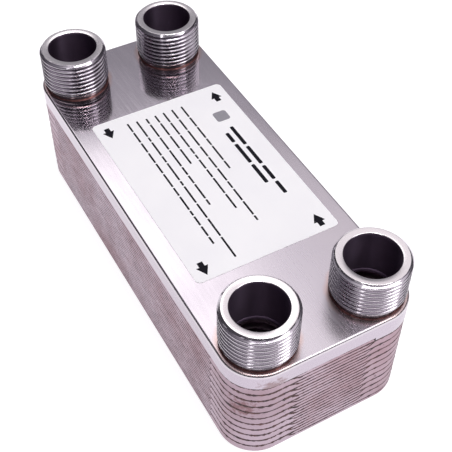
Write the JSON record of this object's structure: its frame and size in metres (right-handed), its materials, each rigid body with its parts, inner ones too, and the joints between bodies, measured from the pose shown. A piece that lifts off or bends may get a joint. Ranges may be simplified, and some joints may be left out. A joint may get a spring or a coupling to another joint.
{
  "type": "plate heat exchanger",
  "caption": "Brazed plate heat exchanger: a long stack of nested stainless plates between two covers, with threaded pipe connections on the front cover.",
  "frame": {"origin": "centre of the underside, on the plane of the last plate's skirt edge", "axes": "+Z from the back towards the connections, Y along the length, X across the width"},
  "size_m": [0.0888, 0.222, 0.0805],
  "materials": {
    "cover_steel": "satin stainless sheet, lightly brushed",
    "plate_steel": "pressed stainless sheet, faintly heat-tinted at the edges",
    "connection_steel": "bright turned stainless",
    "copper_braze": "dull oxidised copper braze",
    "label_film": "matte white film"
  },
  "bodies": {
    "root": {"front_cover": "cover_steel", "back_cover": "cover_steel", "channel_plate_01": "plate_steel", "channel_plate_02": "plate_steel", "channel_plate_03": "plate_steel", "channel_plate_04": "plate_steel", "channel_plate_05": "plate_steel", "channel_plate_06": "plate_steel", "channel_plate_07": "plate_steel", "channel_plate_08": "plate_steel", "channel_plate_09": "plate_steel", "channel_plate_10": "plate_steel", "channel_plate_11": "plate_steel", "channel_plate_12": "plate_steel", "channel_plate_13": "plate_steel", "channel_plate_14": "plate_steel", "channel_plate_15": "plate_steel", "channel_plate_16": "plate_steel", "channel_plate_17": "plate_steel", "channel_plate_18": "plate_steel", "channel_plate_19": "plate_steel", "channel_plate_20": "plate_steel", "channel_plate_21": "plate_steel", "channel_plate_22": "plate_steel", "port_spacer_far_left": "plate_steel", "port_spacer_near_left": "plate_steel", "connection_far_left": "connection_steel", "connection_far_right": "connection_steel", "connection_near_left": "connection_steel", "connection_near_right": "connection_steel", "braze_ring_far_left": "copper_braze", "braze_ring_far_right": "copper_braze", "braze_ring_near_left": "copper_braze", "braze_ring_near_right": "copper_braze", "braze_seam_01": "copper_braze", "braze_seam_02": "copper_braze", "braze_seam_03": "copper_braze", "braze_seam_04": "copper_braze", "braze_seam_05": "copper_braze", "braze_seam_06": "copper_braze", "braze_seam_07": "copper_braze", "braze_seam_08": "copper_braze", "braze_seam_09": "copper_braze", "braze_seam_10": "copper_braze", "braze_seam_11": "copper_braze", "braze_seam_12": "copper_braze", "braze_seam_13": "copper_braze", "braze_seam_14": "copper_braze", "braze_seam_15": "copper_braze", "braze_seam_16": "copper_braze", "braze_seam_17": "copper_braze", "braze_seam_18": "copper_braze", "braze_seam_19": "copper_braze", "braze_seam_20": "copper_braze", "braze_seam_21": "copper_braze", "braze_seam_22": "copper_braze", "label": "label_film"}
  },
  "joints": []
}
